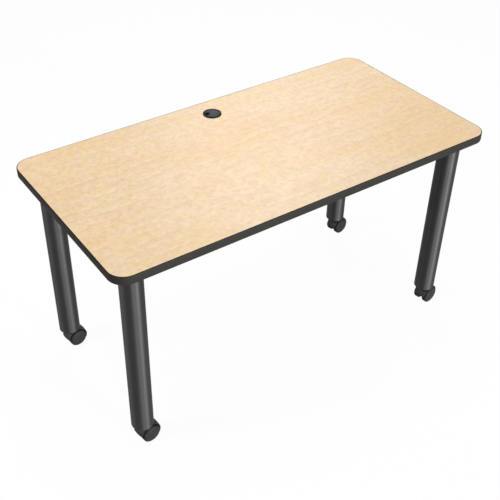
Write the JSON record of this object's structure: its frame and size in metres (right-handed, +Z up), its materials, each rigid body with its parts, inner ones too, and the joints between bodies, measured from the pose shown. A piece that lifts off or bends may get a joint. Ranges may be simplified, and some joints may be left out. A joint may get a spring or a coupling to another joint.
{
  "type": "mobile conference table",
  "caption": "Rectangular conference table with a laminate worktop, soft edge band, cable grommet, round post legs and swivel casters.",
  "frame": {"origin": "on the floor, under the middle of the worktop", "axes": "+X along the worktop's length, +Y towards the long edge with the cable grommet, +Z up"},
  "size_m": [1.4, 0.7, 0.7644],
  "materials": {
    "core_board": "raw particleboard",
    "maple_laminate": "satin pale maple laminate",
    "backer_sheet": "dark matte balancing sheet",
    "edge_band": "fine satin black vinyl",
    "grommet_plastic": "satin black moulded plastic",
    "grommet_cap_plastic": "satin black moulded plastic",
    "leg_paint": "satin black powder coat",
    "plate_paint": "black powder coat",
    "screw_zinc": "zinc plated",
    "plug_plastic": "matte black moulded plastic",
    "stem_oxide": "black oxide",
    "clip_spring_steel": "dark spring steel",
    "washer_nylon": "black nylon",
    "hood_nylon": "satin black nylon",
    "wheel_nylon": "satin black nylon",
    "tread_rubber": "matte black rubber",
    "axle_steel": "bright steel"
  },
  "bodies": {
    "table": {"top_core": "core_board", "top_laminate": "maple_laminate", "backer_sheet": "backer_sheet", "edge_band": "edge_band", "grommet_liner": "grommet_plastic", "leg_tube_front_left": "leg_paint", "leg_tube_back_left": "leg_paint", "leg_tube_front_right": "leg_paint", "leg_tube_back_right": "leg_paint", "leg_plate_front_left": "plate_paint", "leg_plate_back_left": "plate_paint", "leg_plate_front_right": "plate_paint", "leg_plate_back_right": "plate_paint", "plate_screws_front_left": "screw_zinc", "plate_screws_back_left": "screw_zinc", "plate_screws_front_right": "screw_zinc", "plate_screws_back_right": "screw_zinc", "leg_plug_front_left": "plug_plastic", "leg_plug_back_left": "plug_plastic", "leg_plug_front_right": "plug_plastic", "leg_plug_back_right": "plug_plastic", "caster_stem_front_left": "stem_oxide", "caster_stem_back_left": "stem_oxide", "caster_stem_front_right": "stem_oxide", "caster_stem_back_right": "stem_oxide", "stem_clip_front_left": "clip_spring_steel", "stem_clip_back_left": "clip_spring_steel", "stem_clip_front_right": "clip_spring_steel", "stem_clip_back_right": "clip_spring_steel"},
    "cap": {"grommet_cap": "grommet_cap_plastic"},
    "swivel_front_left": {"hood_front_left": "hood_nylon", "swivel_washer_front_left": "washer_nylon", "axle_front_left": "axle_steel"},
    "near_roller_front_left": {"near_wheel_front_left": "wheel_nylon", "near_tread_front_left": "tread_rubber"},
    "far_roller_front_left": {"far_wheel_front_left": "wheel_nylon", "far_tread_front_left": "tread_rubber"},
    "swivel_back_left": {"hood_back_left": "hood_nylon", "swivel_washer_back_left": "washer_nylon", "axle_back_left": "axle_steel"},
    "near_roller_back_left": {"near_wheel_back_left": "wheel_nylon", "near_tread_back_left": "tread_rubber"},
    "far_roller_back_left": {"far_wheel_back_left": "wheel_nylon", "far_tread_back_left": "tread_rubber"},
    "swivel_front_right": {"hood_front_right": "hood_nylon", "swivel_washer_front_right": "washer_nylon", "axle_front_right": "axle_steel"},
    "near_roller_front_right": {"near_wheel_front_right": "wheel_nylon", "near_tread_front_right": "tread_rubber"},
    "far_roller_front_right": {"far_wheel_front_right": "wheel_nylon", "far_tread_front_right": "tread_rubber"},
    "swivel_back_right": {"hood_back_right": "hood_nylon", "swivel_washer_back_right": "washer_nylon", "axle_back_right": "axle_steel"},
    "near_roller_back_right": {"near_wheel_back_right": "wheel_nylon", "near_tread_back_right": "tread_rubber"},
    "far_roller_back_right": {"far_wheel_back_right": "wheel_nylon", "far_tread_back_right": "tread_rubber"}
  },
  "joints": [
    {"name": "cap_lift", "type": "slide", "parent": "table", "child": "cap", "axis": [0, 0, 1], "range_m": [0, 0.06]},
    {"name": "swivel_turn_front_left", "type": "hinge", "parent": "table", "child": "swivel_front_left", "pos_m": [-0.616, -0.266, 0.0325], "axis": [0, 0, 1], "continuous": true},
    {"name": "near_wheel_spin_front_left", "type": "hinge", "parent": "swivel_front_left", "child": "near_roller_front_left", "pos_m": [-0.59962, -0.26399, 0.0325], "axis": [-0.1219, 0.9925, 0], "continuous": true},
    {"name": "far_wheel_spin_front_left", "type": "hinge", "parent": "swivel_front_left", "child": "far_roller_front_left", "pos_m": [-0.59962, -0.26399, 0.0325], "axis": [-0.1219, 0.9925, 0], "continuous": true},
    {"name": "swivel_turn_back_left", "type": "hinge", "parent": "table", "child": "swivel_back_left", "pos_m": [-0.616, 0.266, 0.0325], "axis": [0, 0, 1], "continuous": true},
    {"name": "near_wheel_spin_back_left", "type": "hinge", "parent": "swivel_back_left", "child": "near_roller_back_left", "pos_m": [-0.59962, 0.26801, 0.0325], "axis": [-0.1219, 0.9925, 0], "continuous": true},
    {"name": "far_wheel_spin_back_left", "type": "hinge", "parent": "swivel_back_left", "child": "far_roller_back_left", "pos_m": [-0.59962, 0.26801, 0.0325], "axis": [-0.1219, 0.9925, 0], "continuous": true},
    {"name": "swivel_turn_front_right", "type": "hinge", "parent": "table", "child": "swivel_front_right", "pos_m": [0.616, -0.266, 0.0325], "axis": [0, 0, 1], "continuous": true},
    {"name": "near_wheel_spin_front_right", "type": "hinge", "parent": "swivel_front_right", "child": "near_roller_front_right", "pos_m": [0.63238, -0.26399, 0.0325], "axis": [-0.1219, 0.9925, 0], "continuous": true},
    {"name": "far_wheel_spin_front_right", "type": "hinge", "parent": "swivel_front_right", "child": "far_roller_front_right", "pos_m": [0.63238, -0.26399, 0.0325], "axis": [-0.1219, 0.9925, 0], "continuous": true},
    {"name": "swivel_turn_back_right", "type": "hinge", "parent": "table", "child": "swivel_back_right", "pos_m": [0.616, 0.266, 0.0325], "axis": [0, 0, 1], "continuous": true},
    {"name": "near_wheel_spin_back_right", "type": "hinge", "parent": "swivel_back_right", "child": "near_roller_back_right", "pos_m": [0.63238, 0.26801, 0.0325], "axis": [-0.1219, 0.9925, 0], "continuous": true},
    {"name": "far_wheel_spin_back_right", "type": "hinge", "parent": "swivel_back_right", "child": "far_roller_back_right", "pos_m": [0.63238, 0.26801, 0.0325], "axis": [-0.1219, 0.9925, 0], "continuous": true}
  ]
}
